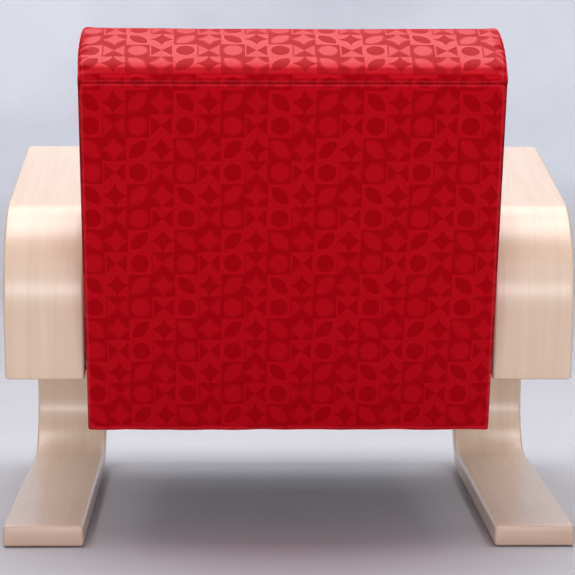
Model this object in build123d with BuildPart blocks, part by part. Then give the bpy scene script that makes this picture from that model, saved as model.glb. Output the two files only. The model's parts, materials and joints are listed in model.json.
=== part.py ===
from build123d import *
import os
from math import cos, radians, sin

# Cantilever lounge armchair: two side frames of bent laminated birch carry an upholstered
# body, which is a wooden seat and back frame with springs, foam, wadding and covers.
#
# Millimetres, +Z up. The sitter faces -Y, so the sitter's left is +X. The origin is on
# the floor, in the middle of the footprint.

# ---------------------------------------------------------------- driving dimensions

# Side frames: one bent strip each, from the runner's rear end to the end of the rear drop
strip_width = 104.0
strip_thickness = 27.0
strip_edge_radius = 4.0
strip_end_radius = 3.0
inner_edge_x = 266.0
runner_end_y = 264.35
foot_corner_y = -379.48
upright_length = 493.0
upright_lean = 9.3
arm_length = 542.0
arm_slope = 10.0
drop_length = 197.5
drop_lean = 10.6
foot_bend_radius = 81.0
front_bend_radius = 116.5
rear_bend_radius = 103.5

# Floor glides under the runners
glide_thickness = 2.0
glide_radius = 14.0
glide_front_y = -250.0
glide_rear_y = 225.0
glide_pin_radius = 1.5
glide_pin_length = 10.0

# Upholstered body: a sloping seat block with a leaning back block on its rear end
body_half_width = 264.0
seat_front_y = -377.45
seat_front_z = 233.1
seat_length = 586.4
seat_thickness = 184.0
seat_slope = 8.6
seat_front_radius = 35.0
back_lean = 20.6
back_height = 508.5
back_thickness = 162.0
back_front_radius = 38.0
roll_radius = 20.5
roll_proud = 3.5
roll_seam = 487.0

# Textile and sheet thicknesses
cover_thickness = 2.0
hessian_thickness = 1.0
dust_cover_thickness = 1.2
hardboard_thickness = 3.0
gap = 0.2

# Wooden frame inside the body
rail_thickness = 26.0
rail_bottom = 4.0
rail_height = 100.0
rail_outer_x = 258.0
front_rail_thickness = 15.0
front_rail_start = 7.0
rear_rail_start = 430.0
stile_depth = 60.0
stile_rear = 5.0
stile_top = 470.0
cross_rail_height = 40.0
lower_rail_start = 160.0

# Fasteners
bolt_radius = 4.0
bolt_hole_radius = 4.5
bolt_tip_x = 288.0
bolt_head_height = 5.3
bolt_head_across_flats = 13.0
washer_radius = 8.0
washer_thickness = 1.6
insert_radius = 6.0
insert_length = 25.0
spacer_radius = 12.0
upright_bolt_distances = (245.0, 295.0)
drop_bolt_distances = (22.0, 86.0)
dowel_radius = 4.0
dowel_length = 40.0
rail_dowel_inset = 20.0
front_rail_top_dowel_inset = 12.0
cross_rail_dowel_places = (10.0, 30.0)
hole_clearance = 0.1

# Wood screws, corner blocks and gussets
screw_radius = 2.0
screw_head_radius = 4.0
screw_head_height = 3.0
block_screw_length = 35.0
block_leg = 45.0
block_bottom = 40.0
block_height = 26.0
gusset_thickness = 12.0
gusset_screw_length = 24.0
gusset_rail_screw_inset = 24.0
gusset_rail_screw_distance = 22.0
gusset_stile_screw_inset = 12.0
gusset_stile_screw_heights = (36.0, 94.0)
gusset_rail_gap = 6.0
gusset_bottom_margin = 10.0
gusset_top_margin = 8.0
gusset_stile_margins = (8.0, 22.0)
gusset_stile_heights = (14.0, 108.0)
gusset_corner_radius = 4.0

# Springs
wire_radius = 1.9
spring_half_width = 25.0
clip_sheet = 1.0
clip_width = 16.0
clip_tab = 10.0
clip_wire_clearance = 0.4
turn_relief = 0.5
seat_spring_inset = 11.0
back_spring_inset = 14.0
seat_spring_count = 5
seat_spring_pitch = 88.0
seat_spring_bars = 20
back_spring_count = 4
back_spring_pitch = 104.0
back_spring_bars = 13

# ---------------------------------------------------------------- derived values

body_slope = radians(seat_slope)
body_lean = radians(back_lean)
block_angle = radians(back_lean - seat_slope)
rail_inner_x = rail_outer_x - rail_thickness
rail_top = rail_bottom + rail_height
strip_middle_x = inner_edge_x + strip_width / 2
runner_z = glide_thickness + strip_thickness / 2
stile_front = stile_rear + stile_depth
rear_rail_end = rear_rail_start + rail_thickness
spring_lift = clip_sheet + wire_radius + clip_wire_clearance
hessian_lift = 6.8
foam_lift = hessian_lift + hessian_thickness + gap
padding_inner_x = rail_outer_x + gap
side_cover_x = body_half_width - cover_thickness

# Corners of the side frame's centreline and its bolt places, seen from the side as (y, z)


def further(point, way, distance):
    """The point at a distance from another along a way, in a side view."""
    return (point[0] + way[0] * distance, point[1] + way[1] * distance)


upright_way = (sin(radians(upright_lean)), cos(radians(upright_lean)))
arm_way = (cos(radians(arm_slope)), -sin(radians(arm_slope)))
drop_way = (-sin(radians(drop_lean)), -cos(radians(drop_lean)))
foot_corner = (foot_corner_y, runner_z)
arm_front_corner = further(foot_corner, upright_way, upright_length)
arm_rear_corner = further(arm_front_corner, arm_way, arm_length)
drop_end = further(arm_rear_corner, drop_way, drop_length)

# Two bolts on the upright and two on the rear drop
upright_bolts = [further(foot_corner, upright_way, distance) for distance in upright_bolt_distances]
drop_bolts = [further(drop_end, drop_way, -distance) for distance in drop_bolt_distances]
bolt_points = upright_bolts + drop_bolts

# Side view of the seat block: local x runs back along the underside, local y is its height.
# Side view of the back block: local x runs up the rear face, local y is the depth from it.
seat_side = Plane(
    origin=(0, seat_front_y, seat_front_z),
    x_dir=(0, cos(body_slope), -sin(body_slope)),
    z_dir=(1, 0, 0),
)
back_foot = seat_side.from_local_coords(Vector(seat_length, 0, 0))
back_side = Plane(
    origin=back_foot,
    x_dir=(0, sin(body_lean), cos(body_lean)),
    z_dir=(1, 0, 0),
)


def seat_from_back(height, depth):
    """A point of the back block's side view, in the seat block's side view."""
    along = seat_length + height * sin(block_angle) - depth * cos(block_angle)
    up = height * cos(block_angle) + depth * sin(block_angle)
    return (along, up)


def back_at_underside(depth):
    """The height in the back block's side view where a depth meets the seat's underside."""
    return -depth * sin(block_angle) / cos(block_angle)


def seat_plane(height):
    """A plane parallel to the seat at a height above its underside, x running back."""
    origin = seat_side.from_local_coords(Vector(0, height, 0))
    return Plane(origin=origin, x_dir=seat_side.x_dir, z_dir=seat_side.y_dir)


def back_plane(depth):
    """A plane parallel to the back at a depth from its rear face, x running up."""
    origin = back_side.from_local_coords(Vector(0, depth, 0))
    return Plane(origin=origin, x_dir=back_side.x_dir, z_dir=back_side.y_dir)


def rods_along_x(plane, points, x_from, x_to, radius, mode=Mode.ADD):
    """Cylinders along X at points of a side view, between two values of x."""
    with BuildSketch(plane.offset(x_from)) as ends:
        with Locations(*points):
            Circle(radius)
    extrude(ends.sketch, amount=x_to - x_from, mode=mode)


def slab(plane, x_from, x_to, points, radii):
    """A plate between two values of x, with a side outline of filleted corners."""
    with BuildSketch(plane.offset(x_from)) as face:
        with BuildLine():
            FilletPolyline(*points, radius=radii, close=True)
        make_face()
    extrude(face.sketch, amount=x_to - x_from)


def bar(plane, half_width, along, up, length, height):
    """A board across the chair, with a rectangular side outline from one corner."""
    with BuildSketch(plane) as face:
        with Locations((along, up)):
            Rectangle(length, height, align=(Align.MIN, Align.MIN))
    extrude(face.sketch, amount=half_width, both=True)


def skin(plane, half_width, points, radii, thickness):
    """A sheet of even thickness across the chair, along a filleted side line."""
    with BuildSketch(plane) as face:
        with BuildLine():
            FilletPolyline(*points, radius=radii)
        trace(line_width=thickness)
    extrude(face.sketch, amount=half_width, both=True)


os.makedirs("parts", exist_ok=True)


def save(builder, name):
    """Label a finished piece and write it."""
    builder.part.label = name
    export_step(builder.part, "parts/" + name + ".step")


# ---------------------------------------------------------------- side frames

with BuildPart() as left_side_frame:
    with BuildLine(Plane.YZ.offset(strip_middle_x)) as strip_path:
        FilletPolyline(
            (runner_end_y, runner_z),
            foot_corner,
            arm_front_corner,
            arm_rear_corner,
            drop_end,
            radius=[foot_bend_radius, front_bend_radius, rear_bend_radius],
        )
    strip_start = strip_path.line @ 0
    strip_finish = strip_path.line @ 1
    with BuildSketch(Plane(origin=strip_start, x_dir=(1, 0, 0), z_dir=strip_path.line % 0)):
        RectangleRounded(strip_width, strip_thickness, strip_edge_radius)
    sweep()
    runner_end_face = left_side_frame.faces().sort_by_distance(strip_start)[0]
    fillet(runner_end_face.edges(), strip_end_radius)
    drop_end_face = left_side_frame.faces().sort_by_distance(strip_finish)[0]
    fillet(drop_end_face.edges(), strip_end_radius)
    rods_along_x(
        Plane.YZ,
        bolt_points,
        inner_edge_x,
        inner_edge_x + insert_length + hole_clearance,
        insert_radius + hole_clearance,
        mode=Mode.SUBTRACT,
    )
    with BuildSketch(Plane.XY.offset(glide_thickness)):
        with Locations((strip_middle_x, glide_front_y), (strip_middle_x, glide_rear_y)):
            Circle(glide_pin_radius + hole_clearance)
    extrude(amount=glide_pin_length + hole_clearance, mode=Mode.SUBTRACT)

with BuildPart() as right_side_frame:
    mirror(left_side_frame.part, about=Plane.YZ)

# ---------------------------------------------------------------- floor glides


def glide_discs(radius, z_from, height):
    """Upright cylinders under both ends of both runners."""
    with BuildSketch(Plane.XY.offset(z_from)) as discs:
        with Locations((0, (glide_front_y + glide_rear_y) / 2)):
            with GridLocations(2 * strip_middle_x, glide_rear_y - glide_front_y, 2, 2):
                Circle(radius)
    extrude(discs.sketch, amount=height)


with BuildPart() as floor_glides:
    glide_discs(glide_radius, 0, glide_thickness)
    glide_discs(glide_pin_radius, glide_thickness, glide_pin_length)

# ---------------------------------------------------------------- dowel places

# Dowels along X: front and rear seat rails into the side rails, cross rails into the stiles
seat_dowel_points = [
    (front_rail_start + front_rail_thickness / 2, rail_bottom + rail_dowel_inset),
    (front_rail_start + front_rail_thickness / 2, rail_top - front_rail_top_dowel_inset),
    (rear_rail_start + rail_thickness / 2, rail_bottom + rail_dowel_inset),
    (rear_rail_start + rail_thickness / 2, rail_top - rail_dowel_inset),
]
cross_rail_rear = stile_front - rail_thickness
top_rail_start = stile_top - cross_rail_height
back_dowel_points = [
    (start + place, cross_rail_rear + rail_thickness / 2)
    for start in (lower_rail_start, top_rail_start)
    for place in cross_rail_dowel_places
]
dowel_x_from = rail_inner_x - dowel_length / 2
dowel_x_to = rail_inner_x + dowel_length / 2

# Dowels square to the stile: side rails into the stiles, one above the other
stile_dowel_heights = (18.0, 72.0)


def stile_dowels(radius, length, mode=Mode.ADD):
    """Cylinders square to the left stile, centred on its front face."""
    with BuildSketch(back_plane(stile_front - length / 2)) as ends:
        for height in stile_dowel_heights:
            with Locations((height, -(rail_inner_x + rail_thickness / 2))):
                Circle(radius)
    extrude(ends.sketch, amount=length, mode=mode)


# Screws along X: one in each corner block, and a few in each gusset
block_screw_points = [
    (front_rail_start + front_rail_thickness + block_leg / 2, block_bottom + block_height / 2),
    (rear_rail_start - block_leg / 2, block_bottom + block_height / 2),
]
block_screw_x = rail_inner_x - block_leg / 2 + screw_head_height
gusset_x = rail_inner_x - gap - gusset_thickness
gusset_screw_x = gusset_x + screw_head_height
gusset_screw_points = [
    (rear_rail_end + gusset_rail_screw_distance, rail_bottom + gusset_rail_screw_inset),
    (rear_rail_end + gusset_rail_screw_distance, rail_top - gusset_rail_screw_inset),
    seat_from_back(gusset_stile_screw_heights[0], stile_front - gusset_stile_screw_inset),
    seat_from_back(gusset_stile_screw_heights[1], stile_front - gusset_stile_screw_inset),
]

# ---------------------------------------------------------------- seat frame

tack_spacing = 52.0
tack_places = 9
tack_start = 70.0
tack_x = rail_inner_x + rail_thickness / 2
tack_shank_radius = 0.8
tack_length = 14.0
tack_head_radius = 4.0
tack_head_thickness = 0.8


def tacks(radius, height_from, height, sides, mode=Mode.ADD):
    """Cylinders square to the seat's underside, in a row along each side rail."""
    with BuildSketch(seat_plane(height_from)) as ends:
        for side in sides:
            with Locations((tack_start, side * tack_x)):
                with GridLocations(tack_spacing, 1, tack_places, 1, align=(Align.MIN, Align.MIN)):
                    Circle(radius)
    extrude(ends.sketch, amount=height, mode=mode)


# The side rail's rear end is cut to the stile's front face
with BuildPart() as seat_side_rail_left:
    stile_line = stile_front + gap
    rail_end_bottom = seat_length - (stile_line - rail_bottom * sin(block_angle)) / cos(block_angle)
    rail_end_top = seat_length - (stile_line - rail_top * sin(block_angle)) / cos(block_angle)
    slab(
        seat_side,
        rail_inner_x,
        rail_outer_x,
        [
            (front_rail_start, rail_bottom),
            (front_rail_start, rail_top),
            (rail_end_top, rail_top),
            (rail_end_bottom, rail_bottom),
        ],
        [0, 0, 0, 0],
    )
    rods_along_x(
        seat_side,
        seat_dowel_points,
        rail_inner_x,
        dowel_x_to + hole_clearance,
        dowel_radius + hole_clearance,
        mode=Mode.SUBTRACT,
    )
    rods_along_x(
        Plane.YZ,
        bolt_points[:2],
        rail_inner_x,
        rail_outer_x,
        bolt_hole_radius,
        mode=Mode.SUBTRACT,
    )
    rods_along_x(
        seat_side,
        block_screw_points,
        rail_inner_x,
        block_screw_x + block_screw_length + hole_clearance,
        screw_radius + hole_clearance,
        mode=Mode.SUBTRACT,
    )
    rods_along_x(
        seat_side,
        gusset_screw_points[:2],
        rail_inner_x,
        gusset_screw_x + gusset_screw_length + hole_clearance,
        screw_radius + hole_clearance,
        mode=Mode.SUBTRACT,
    )
    stile_dowels(dowel_radius + hole_clearance, dowel_length + 2 * hole_clearance, mode=Mode.SUBTRACT)
    tacks(
        tack_shank_radius + hole_clearance,
        rail_bottom,
        tack_length - rail_bottom + hole_clearance,
        [-1],
        mode=Mode.SUBTRACT,
    )

with BuildPart() as seat_side_rail_right:
    mirror(seat_side_rail_left.part, about=Plane.YZ)

with BuildPart() as seat_front_rail:
    bar(
        seat_side,
        rail_inner_x - gap,
        front_rail_start,
        rail_bottom,
        front_rail_thickness,
        rail_height,
    )
    for side in (-1, 1):
        rods_along_x(
            seat_side,
            seat_dowel_points[:2],
            side * (dowel_x_from - hole_clearance),
            side * rail_inner_x,
            dowel_radius + hole_clearance,
            mode=Mode.SUBTRACT,
        )

with BuildPart() as seat_rear_rail:
    bar(seat_side, rail_inner_x - gap, rear_rail_start, rail_bottom, rail_thickness, rail_height)
    for side in (-1, 1):
        rods_along_x(
            seat_side,
            seat_dowel_points[2:],
            side * (dowel_x_from - hole_clearance),
            side * rail_inner_x,
            dowel_radius + hole_clearance,
            mode=Mode.SUBTRACT,
        )

# ---------------------------------------------------------------- back frame

# The stile's foot is cut to the seat's underside
with BuildPart() as back_stile_left:
    foot_lift = rail_bottom / cos(block_angle)
    slab(
        back_side,
        rail_inner_x,
        rail_outer_x,
        [
            (back_at_underside(stile_rear) + foot_lift, stile_rear),
            (stile_top, stile_rear),
            (stile_top, stile_front),
            (back_at_underside(stile_front) + foot_lift, stile_front),
        ],
        [0, 0, 0, 0],
    )
    rods_along_x(
        back_side,
        back_dowel_points,
        rail_inner_x,
        dowel_x_to + hole_clearance,
        dowel_radius + hole_clearance,
        mode=Mode.SUBTRACT,
    )
    rods_along_x(
        Plane.YZ,
        drop_bolts,
        rail_inner_x,
        rail_outer_x,
        bolt_hole_radius,
        mode=Mode.SUBTRACT,
    )
    rods_along_x(
        seat_side,
        gusset_screw_points[2:],
        rail_inner_x,
        gusset_screw_x + gusset_screw_length + hole_clearance,
        screw_radius + hole_clearance,
        mode=Mode.SUBTRACT,
    )
    stile_dowels(dowel_radius + hole_clearance, dowel_length + 2 * hole_clearance, mode=Mode.SUBTRACT)

with BuildPart() as back_stile_right:
    mirror(back_stile_left.part, about=Plane.YZ)


def cross_rail(start, dowel_points):
    """A rail between the stiles, flush with their front faces, bored for its dowels."""
    bar(
        back_side,
        rail_inner_x - gap,
        start,
        cross_rail_rear,
        cross_rail_height,
        rail_thickness,
    )
    for side in (-1, 1):
        rods_along_x(
            back_side,
            dowel_points,
            side * (dowel_x_from - hole_clearance),
            side * rail_inner_x,
            dowel_radius + hole_clearance,
            mode=Mode.SUBTRACT,
        )


with BuildPart() as back_lower_rail:
    cross_rail(lower_rail_start, back_dowel_points[:2])

with BuildPart() as back_top_rail:
    cross_rail(top_rail_start, back_dowel_points[2:])

# ---------------------------------------------------------------- joinery

with BuildPart() as rail_dowels:
    rods_along_x(seat_side, seat_dowel_points, dowel_x_from, dowel_x_to, dowel_radius)
    rods_along_x(back_side, back_dowel_points, dowel_x_from, dowel_x_to, dowel_radius)
    stile_dowels(dowel_radius, dowel_length)
    mirror(about=Plane.YZ)

# Triangular blocks glued and screwed into the corners of the seat frame, between the bolts
with BuildPart() as seat_corner_blocks:
    for corner, way in ((front_rail_start + front_rail_thickness, 1), (rear_rail_start, -1)):
        with BuildSketch(seat_plane(block_bottom)) as triangle:
            with BuildLine():
                Polyline(
                    (corner + way * gap, -rail_inner_x + gap),
                    (corner + way * block_leg, -rail_inner_x + gap),
                    (corner + way * gap, -rail_inner_x + block_leg),
                    close=True,
                )
            make_face()
        extrude(triangle.sketch, amount=block_height)
    rods_along_x(
        seat_side,
        block_screw_points,
        block_screw_x,
        rail_inner_x,
        screw_radius + hole_clearance,
        mode=Mode.SUBTRACT,
    )
    rods_along_x(
        seat_side,
        block_screw_points,
        rail_inner_x - block_leg,
        block_screw_x + hole_clearance,
        screw_head_radius + hole_clearance,
        mode=Mode.SUBTRACT,
    )
    mirror(about=Plane.YZ)

with BuildPart() as corner_block_screws:
    rods_along_x(
        seat_side,
        block_screw_points,
        block_screw_x - screw_head_height,
        block_screw_x,
        screw_head_radius,
    )
    rods_along_x(
        seat_side,
        block_screw_points,
        block_screw_x,
        block_screw_x + block_screw_length,
        screw_radius,
    )
    mirror(about=Plane.YZ)

# Plywood gussets tie each side rail to its stile, behind the rear seat rail
with BuildPart() as back_gussets:
    slab(
        seat_side,
        gusset_x,
        gusset_x + gusset_thickness,
        [
            (rear_rail_end + gusset_rail_gap, rail_bottom + gusset_bottom_margin),
            (rear_rail_end + gusset_rail_gap, rail_top - gusset_top_margin),
            seat_from_back(gusset_stile_heights[1], stile_front - gusset_stile_margins[0]),
            seat_from_back(gusset_stile_heights[1], stile_front - gusset_stile_margins[1]),
            seat_from_back(gusset_stile_heights[0], stile_front - gusset_stile_margins[1]),
        ],
        5 * [gusset_corner_radius],
    )
    rods_along_x(
        seat_side,
        gusset_screw_points,
        gusset_screw_x,
        rail_inner_x,
        screw_radius + hole_clearance,
        mode=Mode.SUBTRACT,
    )
    rods_along_x(
        seat_side,
        gusset_screw_points,
        gusset_x,
        gusset_screw_x + hole_clearance,
        screw_head_radius + hole_clearance,
        mode=Mode.SUBTRACT,
    )
    mirror(about=Plane.YZ)

with BuildPart() as gusset_screws:
    rods_along_x(seat_side, gusset_screw_points, gusset_x, gusset_screw_x, screw_head_radius)
    rods_along_x(
        seat_side,
        gusset_screw_points,
        gusset_screw_x,
        gusset_screw_x + gusset_screw_length,
        screw_radius,
    )
    mirror(about=Plane.YZ)

# ---------------------------------------------------------------- springs


def sinuous_spring(plane, centre, start, end, bars):
    """A flat zigzag wire: bars across the chair joined by round turns at alternate ends."""
    pitch = (end - start) / (bars - 1)
    points = []
    for index in range(bars):
        side = 1 if index % 2 else -1
        points.append((start + index * pitch, centre + side * spring_half_width))
        points.append((start + index * pitch, centre - side * spring_half_width))
    turn_radius = pitch / 2 - turn_relief
    with BuildLine(plane) as wire:
        FilletPolyline(*points, radius=turn_radius)
    with BuildSketch(Plane(origin=wire.line @ 0, z_dir=wire.line % 0)) as section:
        Circle(wire_radius)
    sweep(section.sketch, path=wire.line)


def spring_clip(plane, centre, along, surface, way):
    """A sheet clip on a rail's surface, curled over a spring's end bar."""
    curl_radius = spring_lift - clip_sheet / 2
    low = surface + clip_sheet / 2
    high = low + 2 * curl_radius
    with BuildSketch(plane.offset(centre - clip_width / 2)) as face:
        with BuildLine():
            Line((along - way * clip_tab, low), (along, low))
            ThreePointArc((along, low), (along + way * curl_radius, low + curl_radius), (along, high))
            Line((along, high), (along - way * clip_tab / 2, high))
        trace(line_width=clip_sheet)
    extrude(face.sketch, amount=clip_width)


seat_spring_start = front_rail_start + seat_spring_inset
seat_spring_end = rear_rail_end - seat_spring_inset
seat_spring_centres = [
    (index - (seat_spring_count - 1) / 2) * seat_spring_pitch for index in range(seat_spring_count)
]
back_spring_start = lower_rail_start + back_spring_inset
back_spring_end = stile_top - back_spring_inset
back_spring_centres = [
    (index - (back_spring_count - 1) / 2) * back_spring_pitch for index in range(back_spring_count)
]

with BuildPart() as seat_springs:
    for centre in seat_spring_centres:
        sinuous_spring(
            seat_plane(rail_top + spring_lift),
            centre,
            seat_spring_start,
            seat_spring_end,
            seat_spring_bars,
        )

with BuildPart() as seat_spring_clips:
    for centre in seat_spring_centres:
        spring_clip(seat_side, centre, seat_spring_start, rail_top, 1)
        spring_clip(seat_side, centre, seat_spring_end, rail_top, -1)

with BuildPart() as back_springs:
    for centre in back_spring_centres:
        sinuous_spring(
            back_plane(stile_front + spring_lift),
            centre,
            back_spring_start,
            back_spring_end,
            back_spring_bars,
        )

with BuildPart() as back_spring_clips:
    for centre in back_spring_centres:
        spring_clip(back_side, centre, back_spring_start, stile_front, 1)
        spring_clip(back_side, centre, back_spring_end, stile_front, -1)

# ---------------------------------------------------------------- filling

foam_inset = 2.0
foam_half_width = rail_outer_x - foam_inset
hessian_half_width = foam_half_width - 16.0
hessian_margin = 4.0
seat_foam_end = 452.0
seat_wadding_thickness = 8.0
seat_foam_top = seat_thickness - cover_thickness - seat_wadding_thickness - gap
back_wadding_thickness = 7.0
back_foam_front = back_thickness - cover_thickness - back_wadding_thickness - gap
back_foam_top = back_height - cover_thickness - back_wadding_thickness - gap
back_foam_bottom = 112.0
foam_over_top_rail = 1.0
back_wadding_bottom = 162.0
wadding_past_seam = 1.0
hardboard_bottom = 6.0

with BuildPart() as seat_hessian:
    bar(
        seat_side,
        hessian_half_width,
        front_rail_start,
        rail_top + hessian_lift,
        rear_rail_end - front_rail_start,
        hessian_thickness,
    )

with BuildPart() as back_hessian:
    bar(
        back_side,
        hessian_half_width,
        lower_rail_start + hessian_margin,
        stile_front + hessian_lift,
        stile_top - lower_rail_start - 2 * hessian_margin,
        hessian_thickness,
    )

with BuildPart() as seat_foam:
    slab(
        seat_side,
        -foam_half_width,
        foam_half_width,
        [
            (cover_thickness + seat_wadding_thickness + gap, rail_top + foam_lift),
            (cover_thickness + seat_wadding_thickness + gap, seat_foam_top),
            (seat_foam_end, seat_foam_top),
            (seat_foam_end, rail_top + foam_lift),
        ],
        [0, seat_front_radius - seat_wadding_thickness, 0, 0],
    )

# The back's foam wraps over the top rail
with BuildPart() as back_foam:
    slab(
        back_side,
        -foam_half_width,
        foam_half_width,
        [
            (back_foam_bottom, stile_front + foam_lift),
            (back_foam_bottom, back_foam_front),
            (back_foam_top, back_foam_front),
            (back_foam_top, stile_rear + foam_inset),
            (stile_top + foam_over_top_rail, stile_rear + foam_inset),
            (stile_top + foam_over_top_rail, stile_front + foam_lift),
        ],
        [0, 0, back_front_radius - back_wadding_thickness, roll_radius - back_wadding_thickness, 0, 0],
    )

with BuildPart() as seat_wadding:
    wadding_front = cover_thickness + seat_wadding_thickness / 2
    wadding_top = seat_thickness - wadding_front
    skin(
        seat_side,
        foam_half_width,
        [
            (seat_foam_end, wadding_top),
            (wadding_front, wadding_top),
            (wadding_front, rail_top + foam_lift),
        ],
        [seat_front_radius - wadding_front],
        seat_wadding_thickness - gap,
    )

with BuildPart() as back_wadding:
    wadding_inset = cover_thickness + back_wadding_thickness / 2
    skin(
        back_side,
        foam_half_width,
        [
            (back_wadding_bottom, back_thickness - wadding_inset),
            (back_height - wadding_inset, back_thickness - wadding_inset),
            (back_height - wadding_inset, wadding_inset - roll_proud),
            (roll_seam + wadding_past_seam, wadding_inset - roll_proud),
        ],
        [back_front_radius - wadding_inset, roll_radius - wadding_inset],
        back_wadding_thickness - 2 * gap,
    )

with BuildPart() as back_hardboard:
    bar(
        back_side,
        rail_outer_x,
        hardboard_bottom,
        cover_thickness + gap / 2,
        stile_top - hardboard_bottom,
        hardboard_thickness - 3 * gap,
    )

# ---------------------------------------------------------------- side padding and covers


def height_where(level, depth):
    """The height in the back block's side view where a depth meets a level above the seat."""
    return (level - depth * sin(block_angle)) / cos(block_angle)


def seat_block(x_from, x_to, inset, end_depth):
    """The seat block's side view as a plate, ending at a depth of the back block."""
    top = seat_thickness - inset
    slab(
        seat_side,
        x_from,
        x_to,
        [
            (inset, inset),
            (inset, top),
            seat_from_back(height_where(top, end_depth), end_depth),
            seat_from_back(height_where(inset, end_depth), end_depth),
        ],
        [cover_thickness, seat_front_radius - inset, 0, 0],
    )


def back_block(x_from, x_to, inset):
    """The back block's side view as a plate."""
    slab(
        back_side,
        x_from,
        x_to,
        [
            (height_where(inset, inset), inset),
            (back_height - inset, inset),
            (back_height - inset, back_thickness - inset),
            (height_where(inset, back_thickness - inset), back_thickness - inset),
        ],
        [0, roll_radius - inset, back_front_radius - inset, 0],
    )


with BuildPart() as side_padding_left:
    padding_inset = cover_thickness + gap
    seat_block(padding_inner_x, side_cover_x - gap, padding_inset, back_thickness / 2)
    back_block(padding_inner_x, side_cover_x - gap, padding_inset)
    rods_along_x(
        Plane.YZ,
        bolt_points,
        padding_inner_x,
        side_cover_x,
        bolt_hole_radius,
        mode=Mode.SUBTRACT,
    )

with BuildPart() as side_padding_right:
    mirror(side_padding_left.part, about=Plane.YZ)

with BuildPart() as seat_side_cover_left:
    seat_block(side_cover_x, body_half_width, 0, back_thickness + gap)
    rods_along_x(
        Plane.YZ,
        upright_bolts,
        side_cover_x,
        body_half_width,
        bolt_hole_radius,
        mode=Mode.SUBTRACT,
    )

with BuildPart() as seat_side_cover_right:
    mirror(seat_side_cover_left.part, about=Plane.YZ)

# The back's side cover follows the roll, which stands proud of the rear face at its seam
with BuildPart() as back_side_cover_left:
    slab(
        back_side,
        side_cover_x,
        body_half_width,
        [
            (0, 0),
            (roll_seam - 2 * roll_proud, 0),
            (roll_seam, -roll_proud),
            (back_height, -roll_proud),
            (back_height, back_thickness),
            (back_at_underside(back_thickness), back_thickness),
        ],
        [0, 0, 0, roll_radius, back_front_radius, 0],
    )
    rods_along_x(
        Plane.YZ,
        drop_bolts,
        side_cover_x,
        body_half_width,
        bolt_hole_radius,
        mode=Mode.SUBTRACT,
    )

with BuildPart() as back_side_cover_right:
    mirror(back_side_cover_left.part, about=Plane.YZ)

half_cover = cover_thickness / 2
seat_cover_return = 26.0
rear_cover_return = 24.0

# Seat top, rolled front and a short return under the front edge
with BuildPart() as seat_cover:
    seat_cover_end = height_where(seat_thickness - half_cover, back_thickness + gap)
    skin(
        seat_side,
        side_cover_x,
        [
            seat_from_back(seat_cover_end, back_thickness + gap),
            (half_cover, seat_thickness - half_cover),
            (half_cover, half_cover),
            (seat_cover_return, half_cover),
        ],
        [seat_front_radius - half_cover, cover_thickness],
        cover_thickness,
    )

# Back front and top roll, down to the seam across the rear
with BuildPart() as back_cover:
    back_cover_start = height_where(seat_thickness + half_cover, back_thickness)
    skin(
        back_side,
        side_cover_x,
        [
            (back_cover_start, back_thickness - half_cover),
            (back_height - half_cover, back_thickness - half_cover),
            (back_height - half_cover, half_cover - roll_proud),
            (roll_seam, half_cover - roll_proud),
        ],
        [back_front_radius - half_cover, roll_radius - half_cover],
        cover_thickness,
    )

# Rear panel, from the seam under the roll down to a return under the lower edge
with BuildPart() as rear_cover:
    rear_corner = seat_from_back(height_where(half_cover, half_cover), half_cover)
    skin(
        seat_side,
        side_cover_x,
        [
            seat_from_back(roll_seam, half_cover),
            rear_corner,
            (rear_corner[0] - rear_cover_return, half_cover),
        ],
        [cover_thickness],
        cover_thickness,
    )

with BuildPart() as dust_cover:
    dust_cover_end = rear_corner[0] - rear_cover_return - gap
    bar(
        seat_side,
        side_cover_x,
        seat_cover_return + gap,
        0,
        dust_cover_end - seat_cover_return - gap,
        dust_cover_thickness,
    )
    tacks(
        tack_shank_radius + hole_clearance,
        0,
        dust_cover_thickness,
        [-1, 1],
        mode=Mode.SUBTRACT,
    )

with BuildPart() as dust_cover_tacks:
    tacks(tack_head_radius, -tack_head_thickness, tack_head_thickness, [-1, 1])
    tacks(tack_shank_radius, 0, tack_length, [-1, 1])

# ---------------------------------------------------------------- frame fasteners

bolt_seat_x = rail_inner_x - washer_thickness

with BuildPart() as frame_bolts:
    rods_along_x(Plane.YZ, bolt_points, bolt_seat_x, bolt_tip_x, bolt_radius)
    with BuildSketch(Plane.YZ.offset(bolt_seat_x - bolt_head_height)) as heads:
        with Locations(*bolt_points):
            RegularPolygon(bolt_head_across_flats / 2, 6, major_radius=False)
    extrude(heads.sketch, amount=bolt_head_height)
    mirror(about=Plane.YZ)

with BuildPart() as bolt_washers:
    rods_along_x(Plane.YZ, bolt_points, bolt_seat_x, rail_inner_x, washer_radius)
    rods_along_x(
        Plane.YZ,
        bolt_points,
        bolt_seat_x,
        rail_inner_x,
        bolt_radius + hole_clearance,
        mode=Mode.SUBTRACT,
    )
    mirror(about=Plane.YZ)

with BuildPart() as insert_nuts:
    rods_along_x(Plane.YZ, bolt_points, inner_edge_x, inner_edge_x + insert_length, insert_radius)
    rods_along_x(
        Plane.YZ,
        bolt_points,
        inner_edge_x,
        inner_edge_x + insert_length,
        bolt_radius + hole_clearance,
        mode=Mode.SUBTRACT,
    )
    mirror(about=Plane.YZ)

# Washers between the covers and the side frames keep the fabric off the wood
with BuildPart() as spacer_washers:
    rods_along_x(Plane.YZ, bolt_points, body_half_width, inner_edge_x, spacer_radius)
    rods_along_x(
        Plane.YZ,
        bolt_points,
        body_half_width,
        inner_edge_x,
        bolt_hole_radius,
        mode=Mode.SUBTRACT,
    )
    mirror(about=Plane.YZ)

# ---------------------------------------------------------------- output

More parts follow.
